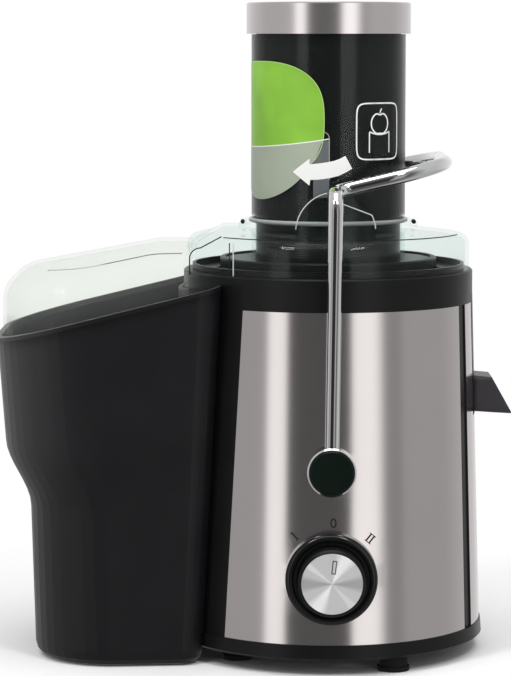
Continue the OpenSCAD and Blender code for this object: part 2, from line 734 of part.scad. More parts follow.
bin_top = z_lid - 2;
function bin_left(z) = bin_low_reach - 1 + 2 * min(z, step_low) / step_low
  + (bin_reach - bin_low_reach - 5) * ease((z - step_low) / (step_high - step_low))
  + 4 * max(0, z - step_high) / (rim_z(-bin_reach) - step_high);
function bin_half(z) = bin_low_y + (bin_y - bin_low_y) * z / bin_top;
function bin_tip(z) = horn_x + 11 * (1 - z / bin_top);
function bin_levels(z0) = concat([z0, z0 + 1.2, z0 + 4, z0 + 8],
  [for (i = [0:8]) step_low + (step_high - step_low) * i / 8], [bin_top]);
// the foot's edge is rounded
function foot_round(z) = z < 8 ? 8 - sqrt(64 - pow(8 - z, 2)) : 0;

module bin_block(inset, z0) {
  levels = bin_levels(z0);
  rings = [for (z = levels)
    [for (p = bin_outline(bin_left(z), bin_half(z), bin_tip(z), inset + foot_round(z - z0))) [p[0], p[1], z]]];
  n = len(rings[0]);
  last = (len(levels) - 1) * n;
  polyhedron(
    points = [for (ring = rings, p = ring) p],
    faces = concat(
      [[for (i = [0:n - 1]) i]],
      [[for (i = [n - 1:-1:0]) last + i]],
      [for (k = [0:len(levels) - 2], i = [0:n - 1])
        [k * n + (i + 1) % n, k * n + i, (k + 1) * n + i, (k + 1) * n + (i + 1) % n]]));
}

module rim_cut(rise) {
  rotate([90, 0, 0]) translate([0, 0, -150]) linear_extrude(height = 300) polygon([
    [-300, rim_z(-300) + rise], [0, rim_z(0) + rise], [0, 400], [-300, 400]]);
}

// The housing's outline grown by d: what the bin hugs.
module body_block(d) {
  translate([0, 0, -5]) cylinder(r = base_r + d, h = z_body + d + 5);
  body_cone(d, z_body, z_collar);
  translate([0, 0, z_collar - eps]) cylinder(r = body_r_top + d, h = band_h + 40);
}

module pulp_bin() placed() color("#212124") difference() {
  union() {
    bin_block(0, 0);
    // thin lip round the rim
    intersection() {
      translate([0, 0, step_high]) linear_extrude(height = 150) polygon(bin_outline(bin_reach + bin_lip, bin_y + bin_lip, horn_x, 0));
      difference() {
        rim_cut(-2.4);
        rim_cut(0);
      }
    }
  }
  difference() {
    bin_block(bin_wall, bin_wall);
    body_block(bin_gap + bin_wall);
  }
  rim_cut(0);
  body_block(bin_gap);
}

cover_reach = bin_reach - bin_wall - 0.5;
cover_y = bin_y - bin_wall - 2.6;
cover_far_r = 18;
cover_side_r = 12;
cover_skirt = 40;

// The cover's outer form, or its inside when inset by the wall.
module cover_block(inset) {
  hull() {
    for (s = [-1, 1]) {
      translate([-cover_reach + foot_corner_r, s * (cover_y - foot_corner_r), cover_z(-cover_reach + cover_far_r) - cover_far_r])
        rotate_extrude($fn = 40) translate([foot_corner_r - cover_far_r, 0]) circle(r = cover_far_r - inset, $fn = 32);
      translate([-cover_end_x - 20, s * (cover_y - 3 - cover_side_r), cover_z(-cover_end_x - 20) - cover_side_r])
        rotate([0, 90, 0]) rotate([0, 0, 90]) cylinder(r = cover_side_r - inset, h = 20, $fn = 32);
    }
    translate([0, 0, rim_z(-cover_reach) - cover_skirt - (inset > 0 ? 1 : 0)]) linear_extrude(height = 1)
      polygon(bin_outline(cover_reach, cover_y, cover_end_x - 20, inset));
  }
}

module bin_cover() placed() color("#e3e8e6", 0.4) difference() {
  intersection() {
    cover_block(0);
    rim_cut(-cover_nest);
    translate([-400, -200, 0]) cube([400 - cover_end_x, 400, 400]);
  }
  intersection() {
    cover_block(cover_t);
    translate([-400, -200, 0]) cube([400 - cover_end_x - cover_t, 400, 400]);
  }
  // the lid's outlet comes in here
  translate([-cover_end_x - 10, -outlet_y + lid_t, 100]) cube([20, 2 * (outlet_y - lid_t), duct_top - lid_fillet - 100]);
  translate([0, 0, 100]) cylinder(r = lid_r + cover_gap, h = 200);
}

module coupling_outline(grow) {
  circle(r = 8.4 + grow);
  for (a = [0:60:150]) rotate([0, 0, a]) square([21 + 2 * grow, 3.6 + 2 * grow], center = true);
}

coupling_h = 14;
foot_ring_h = 4;
z_shaft_top = z_hub - 3;

module basket_hub() placed() color("#1c1c1e") difference() {
  union() {
    translate([0, 0, z_hub]) cylinder(r = grater_r + 3.2, h = hub_plate_t);
    ring(grater_r + 3.2, sieve_r(z_grater + foot_ring_h) + sieve_t + push_gap, z_grater, foot_ring_h);
    ring(tube_r + 4, tube_r + 1.6, z_hub - hub_skirt_h, hub_skirt_h + eps);
    translate([0, 0, z_hub - hub_skirt_h]) cylinder(r = 14.4, h = hub_skirt_h + eps);
    // ribs under the plate
    for (a = [0:45:359]) rotate([0, 0, a]) translate([tube_r + 3, -0.9, z_hub - 3])
      cube([grater_r - tube_r - 3, 1.8, 3 + eps]);
  }
  translate([0, 0, z_hub - hub_skirt_h - 1]) linear_extrude(height = hub_skirt_h + 1) coupling_outline(push_gap);
}

module drive_coupling() placed() color("#3a3a3e") difference() {
  translate([0, 0, z_hub - coupling_h]) linear_extrude(height = coupling_h) coupling_outline(0);
  translate([0, 0, z_hub - coupling_h - 1]) cylinder(r = shaft_r + grip_gap, h = z_shaft_top + 0.3 - z_hub + coupling_h + 1);
}

module tooth() {
  translate([0, 0.9, 0]) rotate([90, 0, 0]) linear_extrude(height = 1.8) polygon([[-1.4, -0.3], [1.2, -0.3], [0.6, tooth_h]]);
}

module grater_disc() placed() color("#c8c8ca") translate([0, 0, z_grater]) difference() {
  union() {
    cylinder(r = grater_r, h = grater_t);
    for (a = [0:tooth_rows - 1], i = [0:teeth_per_row - 1])
      rotate([0, 0, a * 360 / tooth_rows + i * 8]) translate([10 + i * (grater_r - 14) / (teeth_per_row - 1), 0, grater_t])
        rotate([0, 0, 90]) tooth();
    // boss that the disc is riveted by
    cylinder(r = 6, h = grater_t + 1.2);
  }
  for (a = [0:5]) rotate([0, 0, a * 60]) translate([8.3, 0, -1]) cylinder(r = 0.9, h = 5);
}

sieve_z0 = z_grater;
sieve_z1 = z_rim - 1.4;
function sieve_r(z) = grater_r + 0.2 + (sieve_r_top - sieve_t - grater_r - 0.2) * (z - sieve_z0) / (sieve_z1 - sieve_z0);
sieve_lean = atan((sieve_r(sieve_z1) - sieve_r(sieve_z0)) / (sieve_z1 - sieve_z0));
slot_pitch = (sieve_z1 - sieve_z0 - 12) / sieve_rows;

module sieve() placed() color("#b4b4b6") difference() {
  rotate_extrude() polygon([[sieve_r(sieve_z0), sieve_z0], [sieve_r(sieve_z0) + sieve_t, sieve_z0],
    [sieve_r(sieve_z1) + sieve_t, sieve_z1], [sieve_r(sieve_z1), sieve_z1]]);
  for (r = [0:sieve_rows - 1], c = [0:sieve_columns - 1])
    let(z = sieve_z0 + 6 + slot_pitch * (r + 0.5))
      rotate([0, 0, (c + (r % 2) / 2) * 360 / sieve_columns]) translate([sieve_r(z), 0, z])
        rotate([0, sieve_lean, 0]) cube([6, 3.2, slot_pitch - 3.4], center = true);
}

module basket_rim() placed() color("#1c1c1e") rotate_extrude() polygon([
  [sieve_r(z_rim - rim_h) + sieve_t + 0.05, z_rim - rim_h], [rim_r - 0.8, z_rim - rim_h], [rim_r, z_rim - rim_h + 0.8],
  [rim_r, z_rim - 0.8], [rim_r - 0.8, z_rim], [sieve_r(sieve_z1) - 0.2, z_rim], [sieve_r(sieve_z1) - 0.2, sieve_z1 + 0.05],
  [sieve_r(sieve_z1) + sieve_t + 0.05, sieve_z1 + 0.05]]);

module motor_shaft() placed() color("#b9bcc2") translate([0, 0, z_shaft_end])
  cylinder(r = shaft_r, h = z_shaft_top - z_shaft_end);

module armature_core() placed() color("#77797e") difference() {
  translate([0, 0, z_stack]) cylinder(r = armature_r, h = stack_h);
  translate([0, 0, z_stack - 1]) cylinder(r = shaft_r + grip_gap, h = stack_h + 2);
  for (i = [0:slot_count - 1]) rotate([0, 0, i * 360 / slot_count]) {
    translate([armature_r - 6.5, 0, z_stack - 1]) cylinder(r = 2.6, h = stack_h + 2);
    translate([armature_r - 5, -0.9, z_stack - 1]) cube([10, 1.8, stack_h + 2]);
  }
}

module armature_winding() placed() color("#a5602c") union() {
  for (z = [z_stack - winding_h, z_stack + stack_h]) difference() {
    translate([0, 0, z]) cylinder(r = armature_r - 3, h = winding_h);
    translate([0, 0, z - 1]) cylinder(r = shaft_r + 2.5, h = winding_h + 2);
  }
  for (i = [0:slot_count - 1]) rotate([0, 0, i * 360 / slot_count])
    translate([armature_r - 6.5, 0, z_stack - eps]) cylinder(r = 2.4, h = stack_h + 2 * eps);
}

module commutator() placed() color("#b5713a") difference() {
  union() {
    translate([0, 0, z_comm]) cylinder(r = comm_r, h = comm_h);
    translate([0, 0, z_comm + comm_h - 2]) cylinder(r = comm_r + 1.6, h = 2);
  }
  translate([0, 0, z_comm - 1]) cylinder(r = shaft_r + grip_gap, h = comm_h + 2);
  for (i = [0:2 * slot_count - 1]) rotate([0, 0, i * 180 / slot_count])
    translate([comm_r - 1.2, -0.25, z_comm - 1]) cube([4, 0.5, comm_h + 2]);
}

module cooling_fan() placed() color("#2d2d30") difference() {
  union() {
    translate([0, 0, z_fan]) linear_extrude(height = fan_h - fan_plate_t) {
      circle(r = 9);
      for (i = [0:fan_blades - 1]) rotate([0, 0, i * 360 / fan_blades + 7]) translate([7, 0]) rotate([0, 0, 20])
        square([fan_r - 9, 1.4]);
    }
    translate([0, 0, z_fan + fan_h - fan_plate_t]) cylinder(r = fan_r, h = fan_plate_t);
  }
  translate([0, 0, z_fan - 1]) cylinder(r = shaft_r + grip_gap, h = fan_h + 2);
}

// Windows for the field coils beside the two pole necks.
neck_w = 20;
window_w = 13;
window_y = 21;
window_d = 8;
coil_h = 7;
coil_gap = 0.6;

module stator_core() placed() color("#6c6e73") translate([0, 0, z_stack]) linear_extrude(height = stack_h) difference() {
  intersection() {
    square([stator_w, stator_w], center = true);
    circle(r = stator_corner_r);
  }
  circle(r = armature_r + air_gap);
  for (x = [-1, 1], y = [-1, 1])
    translate([x * (neck_w + window_w) / 2, y * (window_y + window_d / 2)]) square([window_w, window_d], center = true);
}

// Field coils: a flat ring of copper wire round the neck of each pole.
module field_coils() placed() color("#b4652a") for (m = [0, 1]) mirror([0, m, 0]) difference() {
  translate([-neck_w / 2 - window_w + coil_gap, window_y + coil_gap + 0.2, z_stack - coil_h])
    cube([neck_w + 2 * (window_w - coil_gap), window_d - 2 * coil_gap - 0.2, stack_h + 2 * coil_h]);
  translate([-neck_w / 2 - coil_gap, window_y - 1, z_stack]) cube([neck_w + 2 * coil_gap, window_d + 2, stack_h]);
  // room for the armature
  translate([0, 0, z_stack - 30]) cylinder(r = armature_r + air_gap + 0.2, h = stack_h + 60);
}

mount_r = 3.6;
module at_mounts() {
  for (a = [45:90:315]) rotate([0, 0, a]) translate([mount_place * sqrt(2), 0, 0]) children();
}

// Bearing bracket: a cross over the stack with legs down to its corners.
module upper_bracket() placed() color("#9a9ca1") difference() {
  union() {
    translate([0, 0, z_bracket - bracket_t]) linear_extrude(height = bracket_t) {
      circle(r = bearing_r + 4);
      for (a = [45, 135]) rotate([0, 0, a]) square([2 * mount_place * sqrt(2), 10], center = true);
    }
    at_mounts() translate([0, 0, z_bracket - bracket_t]) cylinder(r = 6, h = bracket_t);
    at_mounts() translate([0, 0, z_stack_top]) cylinder(r = mount_r, h = z_bracket - z_stack_top - 1);
  }
  translate([0, 0, z_bracket - bracket_t - 1]) cylinder(r = bearing_r + grip_gap, h = bracket_t + 2);
  at_mounts() translate([0, 0, z_bracket - 5]) cylinder(r = stud_r + push_gap, h = 10);
}

low_plate_r = 31;
low_plate_t = 4;
z_low_plate = z_low_bracket + bracket_t - low_plate_t;
module lower_bracket() placed() color("#9a9ca1") difference() {
  union() {
    translate([0, 0, z_low_bracket]) cylinder(r = bearing_r + 4, h = bracket_t);
    translate([0, 0, z_low_plate]) cylinder(r = low_plate_r, h = low_plate_t);
    at_mounts() translate([0, 0, z_low_plate]) cylinder(r = mount_r, h = z_stack - z_low_plate);
    for (a = [45, 135]) rotate([0, 0, a]) translate([-mount_place * sqrt(2), -mount_r, z_low_plate])
      cube([2 * mount_place * sqrt(2), 2 * mount_r, low_plate_t]);
  }
  translate([0, 0, z_low_bracket - 1]) cylinder(r = bearing_r + grip_gap, h = bracket_t + 2);
  // air holes
  for (a = [90, 270], b = [-28, 0, 28]) rotate([0, 0, a + b]) translate([22.5, 0, z_low_plate - 1])
    cylinder(r = 3.5, h = low_plate_t + 2);
}

module bearing(z) {
  rotate_extrude() polygon([[shaft_r + run_gap, z], [bearing_r, z], [bearing_r, z + bracket_t], [shaft_r + run_gap, z + bracket_t]]);
}

module upper_bearing() placed() color("#d2d3d6") bearing(z_bracket - bracket_t);
module lower_bearing() placed() color("#d2d3d6") bearing(z_low_bracket);

brush_z = z_comm + comm_h / 2 - 1;
brush_w = 6.2;
brush_h = 5;
module brush_holders() placed() color("#b08d3c") for (m = [0, 1]) mirror([m, 0, 0]) difference() {
  translate([comm_r + 2.4, -5, z_low_bracket + bracket_t]) cube([17, 10, brush_z + 4 - z_low_bracket - bracket_t]);
  translate([comm_r + 1, -brush_w / 2 - push_gap, brush_z - brush_h / 2 - push_gap])
    cube([16.5, brush_w + 2 * push_gap, brush_h + 2 * push_gap]);
}

module carbon_brushes() placed() color("#2b2b2b") for (m = [0, 1]) mirror([m, 0, 0]) difference() {
  translate([comm_r - 1, -brush_w / 2, brush_z - brush_h / 2]) cube([14, brush_w, brush_h]);
  translate([0, 0, brush_z - 5]) cylinder(r = comm_r + 0.3, h = 10);
}

module motor_mounts() placed() color("#202022") at_mounts() ring(6, stud_r + 0.3, z_bracket, mount_t);

module motor_studs() placed() color("#8e9094") at_mounts()
  translate([0, 0, z_bracket - 4.5]) cylinder(r = stud_r, h = 4.5 + mount_t + stud_in_post);

base_pan();
feet();
base_screws();
cord_gland();
body_shell();
front_panel();
rear_panel();
juice_bowl();
shaft_seal();
knob_bezel();
speed_knob();
knob_face();
switch_shaft();
rotary_switch();
interlock_switch();
pivot_pins();
lock_arm();
hub_cap_front();
hub_cap_rear();
lid();
pusher();
pusher_cap();
pulp_bin();
bin_cover();
basket_hub();
grater_disc();
sieve();
basket_rim();
drive_coupling();
motor_shaft();
armature_core();
armature_winding();
commutator();
cooling_fan();
stator_core();
field_coils();
upper_bracket();
lower_bracket();
upper_bearing();
lower_bearing();
brush_holders();
carbon_brushes();
motor_mounts();
motor_studs();
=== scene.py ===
import math
import bmesh
import bpy
import mathutils
import numpy as np
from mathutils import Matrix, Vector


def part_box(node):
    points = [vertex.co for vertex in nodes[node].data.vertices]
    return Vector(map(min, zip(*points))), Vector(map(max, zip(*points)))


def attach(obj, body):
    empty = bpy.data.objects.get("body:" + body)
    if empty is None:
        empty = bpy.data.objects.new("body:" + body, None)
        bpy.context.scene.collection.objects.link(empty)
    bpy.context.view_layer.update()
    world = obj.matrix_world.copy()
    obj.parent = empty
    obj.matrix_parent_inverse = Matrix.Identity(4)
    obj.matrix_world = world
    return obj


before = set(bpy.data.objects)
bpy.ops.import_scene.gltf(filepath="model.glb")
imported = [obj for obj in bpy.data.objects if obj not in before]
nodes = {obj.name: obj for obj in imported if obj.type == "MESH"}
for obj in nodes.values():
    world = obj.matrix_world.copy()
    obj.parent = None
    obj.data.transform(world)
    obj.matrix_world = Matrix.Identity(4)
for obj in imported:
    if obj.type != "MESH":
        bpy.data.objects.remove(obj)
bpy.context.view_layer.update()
print("frame loaded")

# the motor's axis in the frame: the basket is centred on it
basketLow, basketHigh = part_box("basket_rim")
axisX = (basketLow[0] + basketHigh[0]) / 2
axisY = (basketLow[1] + basketHigh[1]) / 2
bodyLow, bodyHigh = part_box("front_panel")
mm = 0.001


class Link:
    # an output socket; arithmetic on it adds Math nodes
    def __init__(self, shader, socket):
        self.shader, self.socket = shader, socket

    def math(self, operation, *values):
        return self.shader.node("Math", {"operation": operation}, values)

    def __add__(self, other):
        return self.math("ADD", self, other)

    def __radd__(self, other):
        return self.math("ADD", other, self)

    def __sub__(self, other):
        return self.math("SUBTRACT", self, other)

    def __rsub__(self, other):
        return self.math("SUBTRACT", other, self)

    def __mul__(self, other):
        return self.math("MULTIPLY", self, other)

    def __rmul__(self, other):
        return self.math("MULTIPLY", other, self)

    def __truediv__(self, other):
        return self.math("DIVIDE", self, other)

    def __rtruediv__(self, other):
        return self.math("DIVIDE", other, self)

    def __pow__(self, other):
        return self.math("POWER", self, other)

    def abs(self):
        return self.math("ABSOLUTE", self)

    def sin(self):
        return self.math("SINE", self)

    def angle(self, other):
        return self.math("ARCTAN2", self, other)

    def min(self, other):
        return self.math("MINIMUM", self, other)

    def max(self, other):
        return self.math("MAXIMUM", self, other)

    def over(self, edge, soft):
        # 0 below edge, 1 above it, over a soft width
        reach = {"Value": self, "From Min": edge - soft / 2, "From Max": edge + soft / 2}
        return self.shader.node("MapRange", {"clamp": True}, reach)


class Shader:
    # the node tree of a material, or of the world
    def __init__(self, name, world=False):
        if world:
            self.owner = bpy.data.worlds.new(name)
        else:
            self.owner = bpy.data.materials.new(name)
        self.owner.use_nodes = True
        self.tree = self.owner.node_tree
        self.tree.nodes.clear()
        self.isWorld = world

    def node(self, kind, settings=None, values=None, out=0):
        # a node of any type: its settings first, then the values or links of its sockets
        made = self.tree.nodes.new("ShaderNode" + kind)
        for key, value in (settings or {}).items():
            if key == "stops":
                ramp = made.color_ramp
                while len(ramp.elements) < len(value):
                    ramp.elements.new(0.5)
                for element, (place, colour) in zip(ramp.elements, value):
                    element.position = place
                    element.color = (*colour, 1) if len(colour) == 3 else colour
            else:
                setattr(made, key, value)
        pairs = values.items() if isinstance(values, dict) else enumerate(values or ())
        for key, value in pairs:
            socket = made.inputs[key]
            if isinstance(value, Link):
                self.tree.links.new(value.socket, socket)
            elif isinstance(value, (tuple, list)) and len(value) == 3 and len(socket.default_value) == 4:
                socket.default_value = (*value, 1)
            else:
                socket.default_value = value
        return Link(self, made.outputs[out])

    def coords(self):
        # place on the object in millimetres, from the motor's axis
        place = self.node("TexCoord", out="Object")
        moved = self.node("VectorMath", {"operation": "SUBTRACT"}, [place, (axisX, axisY, 0)])
        return self.node("VectorMath", {"operation": "SCALE"}, {0: moved, "Scale": 1000})

    def parts(self, vector):
        split = self.node("SeparateXYZ", values=[vector])
        outs = split.socket.node.outputs
        return Link(self, outs[0]), Link(self, outs[1]), Link(self, outs[2])

    def scaled(self, vector, x, y, z):
        return self.node("VectorMath", {"operation": "MULTIPLY"}, [vector, (x, y, z)])

    def noise(self, vector, scale, detail=2.0, rough=0.5):
        look = {"Vector": vector, "Scale": scale, "Detail": detail, "Roughness": rough}
        return self.node("TexNoise", None, look)

    def blend(self, mask, first, second):
        return self.node("Mix", {"data_type": "RGBA"}, {0: mask, 6: first, 7: second}, out=2)

    def bump(self, height, strength, distance):
        return self.node("Bump", None, {"Strength": strength, "Distance": distance, "Height": height})

    def principled(self, **values):
        sockets = {key.replace("_", " "): value for key, value in values.items()}
        return self.node("BsdfPrincipled", None, sockets)

    def finish(self, surface):
        out = self.tree.nodes.new("ShaderNodeOutput" + ("World" if self.isWorld else "Material"))
        self.tree.links.new(surface.socket, out.inputs["Surface"])
        return self.owner


def moulded(name, colour, rough, grain=0.25, scale=0.9, fleck=0.12, coat=0.0, shine=0.13, paintedSheen=None):
    # moulded plastic: fine grain in the bump, faint change of colour and gloss over centimetres, and, where
    # given, a painted highlight along x
    shader = Shader(name)
    place = shader.coords()
    fine = shader.noise(place, scale, 3.0, 0.6)
    broad = shader.noise(place, 0.035, 2.0)
    lighter = tuple(c * (1 + fleck) + 0.002 for c in colour)
    darker = tuple(c * (1 - fleck) for c in colour)
    base = shader.blend(broad, darker, lighter)
    if paintedSheen:
        # painted highlight: the base colour grows lighter beyond a place along x, standing in for the side
        # light that the real one catches there
        start, end, paintedSheenColour = paintedSheen
        x, y, z = shader.parts(place)
        share = ((x - start) / (end - start)).max(0.0).min(1.0)
        base = shader.blend(share * share * share, base, paintedSheenColour)
    return shader.finish(shader.principled(
        Base_Color=base, Roughness=rough - 0.06 + broad * 0.12,
        Coat_Weight=coat, Coat_Roughness=0.06, Specular_IOR_Level=shine,
        Normal=shader.bump(fine, grain, 0.00005)))


def brushed(name, colour, rough, alongX, alongY, alongZ, depth=0.12, metallic=1.0):
    # brushed metal: a noise drawn out along the brushing, in colour, gloss and bump
    shader = Shader(name)
    place = shader.coords()
    lines = shader.noise(shader.scaled(place, alongX, alongY, alongZ), 1.0, 3.0, 0.65)
    broad = shader.noise(place, 0.02, 2.0)
    darker = tuple(c * 0.9 for c in colour)
    lighter = tuple(min(1, c * 1.08) for c in colour)
    base = shader.blend(lines * 0.6 + broad * 0.4, darker, lighter)
    return shader.finish(shader.principled(
        Base_Color=base, Metallic=metallic, Roughness=rough - 0.05 + lines * 0.1,
        Normal=shader.bump(lines, depth, 0.00003)))


def polished(name, colour, dim, rough):
    # a polished rod: a painted reflection in its base colour, darker where it faces front and back, for the
    # dark room that it mirrors there
    shader = Shader(name)
    place = shader.coords()
    x, y, z = shader.parts(shader.node("TexCoord", out="Normal"))
    scuff = shader.noise(place, 0.4, 3.0)
    # painted reflection: the dim colour where the surface faces front or back
    base = shader.blend(y.abs().over(0.86, 0.14), colour, dim)
    return shader.finish(shader.principled(Base_Color=base, Metallic=1.0, Roughness=rough + scuff * 0.05,
                                           Normal=shader.bump(scuff, 0.03, 0.00002)))


def spun(name, colour, rough, centreX, centreZ, pitch, paintedWedges, index):
    # turned metal: fine rings about an axis along Y, bright and dark sectors painted into its colour as the
    # painted highlights
    #  and painted shade that turned metal shows, and an index mark printed as the outline of a narrow box
    shader = Shader(name)
    x, y, z = shader.parts(shader.coords())
    across, up = x - centreX, z - centreZ
    radius = (across * across + up * up) ** 0.5
    rings = (radius * (2 * math.pi / pitch)).sin() * 0.5 + 0.5
    wobble = shader.noise(shader.node("CombineXYZ", None, [radius * 3.0, 0.0, 0.0]), 1.0, 2.0)
    tone = rings * 0.5 + wobble * 0.5
    turned = across.angle(up) * (180 / math.pi)
    light = 0.5
    for middle, width, amount in paintedWedges:
        # angle away from the wedge's middle, both ways round
        away = (turned - middle).abs()
        away = away.min(360 - away)
        light = light + (1 - away.over(width / 2, width * 0.5)) * amount
    # painted highlight and painted shade of the sectors, mixed into the steel's colour
    shade = shader.blend(light.max(0.0).min(1.0), tuple(c * 0.3 for c in colour), (1.0, 1.0, 1.0))
    lean = math.radians(index["turn"])
    out = across * math.sin(lean) + up * math.cos(lean) - index["reach"]
    aside = across * math.cos(lean) - up * math.sin(lean)
    edge = (aside.abs() - index["wide"]).max(out.abs() - index["high"]).abs()
    steel = shader.blend(tone * 0.25, shade, colour)
    shade = shader.blend(edge.over(index["line"], 0.12), index["ink"], steel)
    return shader.finish(shader.principled(
        Base_Color=shade, Metallic=0.5,
        Roughness=rough + tone * 0.08, Normal=shader.bump(tone, 0.25, 0.00004)))


def clear(name, tint, share, rough=0.03, haze=(0.8, 0.85, 0.83), core=None, mirror=(0.008, 0.2)):
    # clear plastic: a tint on what is behind, a mirror that grows towards the edges, a trace of haze, and,
    # where a core is given, painted dark edges round it
    shader = Shader(name)
    broad = shader.noise(shader.coords(), 0.03, 2.0)
    facing = shader.node("LayerWeight", None, {"Blend": 0.5}, out="Facing")
    behind = shader.node("BsdfTransparent", None, {"Color": tint})
    milk = shader.principled(Base_Color=haze, Roughness=0.6, Specular_IOR_Level=0.0)
    gloss = shader.principled(Base_Color=(1.0, 1.0, 1.0), Metallic=1.0, Roughness=rough + broad * 0.04)
    body = shader.node("MixShader", None, [share * (0.6 + broad * 0.8), behind, milk])
    if core:
        # painted shade: a tube round a dark core looks dark out to its edges, as the wall bends the sight
        # line to the core, so a fixed region near the core is painted dark where the wall is seen at a slant
        radius, above, share, edge = core
        x, y, z = shader.parts(shader.coords())
        paintedShadeZone = z.over(above, 1.0) * (1 - (x * x + y * y).over((radius + 1) ** 2, 40))
        dark = shader.principled(Base_Color=(0.004, 0.0042, 0.0045), Roughness=0.3, Specular_IOR_Level=0.2)
        body = shader.node("MixShader", None, [paintedShadeZone * facing.over(edge, 0.2) * share, body, dark])
    mirrored = (facing ** 5.0) * mirror[1] + mirror[0]
    return shader.finish(shader.node("MixShader", None, [mirrored, body, gloss]))


# one painted sector of the knob's turned face, a painted highlight where the amount is above 0 and painted
# shade below it: its middle and width in degrees, and how much brighter it is
knobPaintedWedges = [(29, 30, 0.5), (-148, 30, 0.5), (-52, 12, 0.25), (138, 14, 0.2), (90, 26, -0.3),
              (-90, 26, -0.3)]
knobIndex = {"turn": 7, "reach": 9.3, "wide": 0.95, "high": 3.5, "line": 0.3, "ink": (0.05, 0.05, 0.05)}
looks = {
    # the spout, past x 81 mm, gets a painted highlight in its colour, for the light on its top
    "black": moulded("blackPlastic", (0.0065, 0.0065, 0.0072), 0.33, paintedSheen=(81, 86, (0.045, 0.04, 0.047))),
    "smoothBlack": moulded("smoothBlack", (0.0065, 0.0065, 0.0072), 0.3, 0.03, 0.4),
    # the bin grows lighter towards its left end: a painted highlight for the side light on it
    "binBlack": moulded("binPlastic", (0.0055, 0.0055, 0.0068), 0.42, 0.35, 1.1, shine=0.2,
                        paintedSheen=(-118, -190, (0.075, 0.072, 0.075))),
    "glossBlack": moulded("glossBlack", (0.004, 0.0045, 0.0045), 0.14, 0.05, 0.5, coat=0.2, shine=0.2),
    "capGloss": moulded("capGloss", (0.003, 0.007, 0.005), 0.2, 0.04, 0.5),
    "rubber": moulded("rubber", (0.008, 0.008, 0.008), 0.75, 0.6, 1.6),
    "switchPlastic": moulded("switchPlastic", (0.035, 0.035, 0.04), 0.5),
    "redPlastic": moulded("redPlastic", (0.25, 0.02, 0.02), 0.45),
    "panel": brushed("brushedPanel", (0.54, 0.505, 0.50), 0.16, 0.12, 0.12, 6.0),
    "capSteel": brushed("capSteel", (0.68, 0.635, 0.64), 0.24, 0.12, 0.12, 6.0),
    "steel": brushed("turnedSteel", (0.5, 0.51, 0.53), 0.3, 1.5, 1.5, 1.5),
    # the chrome arm carries a painted reflection of the dark room in its colour
    "chrome": polished("chromeRod", (0.8, 0.8, 0.81), (0.2, 0.195, 0.2), 0.05),
    "pinSteel": brushed("pinSteel", (0.45, 0.46, 0.48), 0.25, 0.4, 4.0, 0.4),
    "knobFace": spun("knobFace", (0.74, 0.735, 0.74), 0.4, 0.0, 55.7, 0.45, knobPaintedWedges, knobIndex),
    "sieveSteel": brushed("sieveSteel", (0.55, 0.55, 0.55), 0.3, 2.0, 2.0, 0.5),
    "laminated": brushed("laminatedSteel", (0.14, 0.14, 0.15), 0.45, 0.05, 0.05, 9.0, 0.5, 0.8),
    "copper": brushed("enamelledCopper", (0.46, 0.16, 0.06), 0.3, 0.6, 0.6, 5.0, 0.8, 0.9),
    "brass": brushed("brass", (0.58, 0.42, 0.16), 0.3, 1.5, 1.5, 1.5),
    "cast": brushed("castBracket", (0.4, 0.41, 0.43), 0.5, 1.0, 1.0, 1.0, 0.5, 0.9),
    "carbon": moulded("carbon", (0.02, 0.02, 0.021), 0.7, 0.7, 2.0),
    # the lid's chute gets painted dark edges from its material; they stay when the pusher is lifted out
    "lidClear": clear("lidClear", (0.935, 0.96, 0.953), 0.002, core=(44.5, 252, 0.8, 0.45)),
    "markInk": moulded("markInk", (0.02, 0.02, 0.022), 0.5, 0.1),
    "labelWhite": moulded("labelWhite", (0.82, 0.82, 0.80), 0.4, 0.1, fleck=0.03),
    "labelGreen": moulded("labelGreen", (0.22, 0.46, 0.05), 0.35, 0.1, 0.25, fleck=0.35),
    "labelPale": moulded("labelPale", (0.42, 0.64, 0.22), 0.4, 0.1),
    "labelGrey": moulded("labelGrey", (0.34, 0.38, 0.30), 0.4, 0.1, 0.25, fleck=0.12),
    "labelShade": moulded("labelShade", (0.12, 0.125, 0.135), 0.4, 0.1, 0.25, fleck=0.2),
    # painted lines along the clear parts' edges: the pale ones are painted highlights, the grey and dark ones
    # painted shade; the darkest also colours the catches' pins
    "paintedCoverHighlight": moulded("paintedCoverHighlight", (0.45, 0.46, 0.44), 0.3, 0.05),
    "paintedCoverShade": moulded("paintedCoverShade", (0.16, 0.165, 0.155), 0.3, 0.05),
    "paintedEdgeShadeAndPins": moulded("paintedEdgeShadeAndPins", (0.012, 0.02, 0.017), 0.3, 0.05),
    "paintedCollarHighlight": moulded("paintedCollarHighlight", (0.33, 0.34, 0.34), 0.2, 0.05),
    "paintedEdgeHighlight": moulded("paintedEdgeHighlight", (0.5, 0.53, 0.52), 0.25, 0.05),
    "coverClear": clear("coverClear", (0.96, 0.972, 0.958), 0.03, 0.04, (0.86, 0.88, 0.87),
                        mirror=(0.002, 0.2)),
}
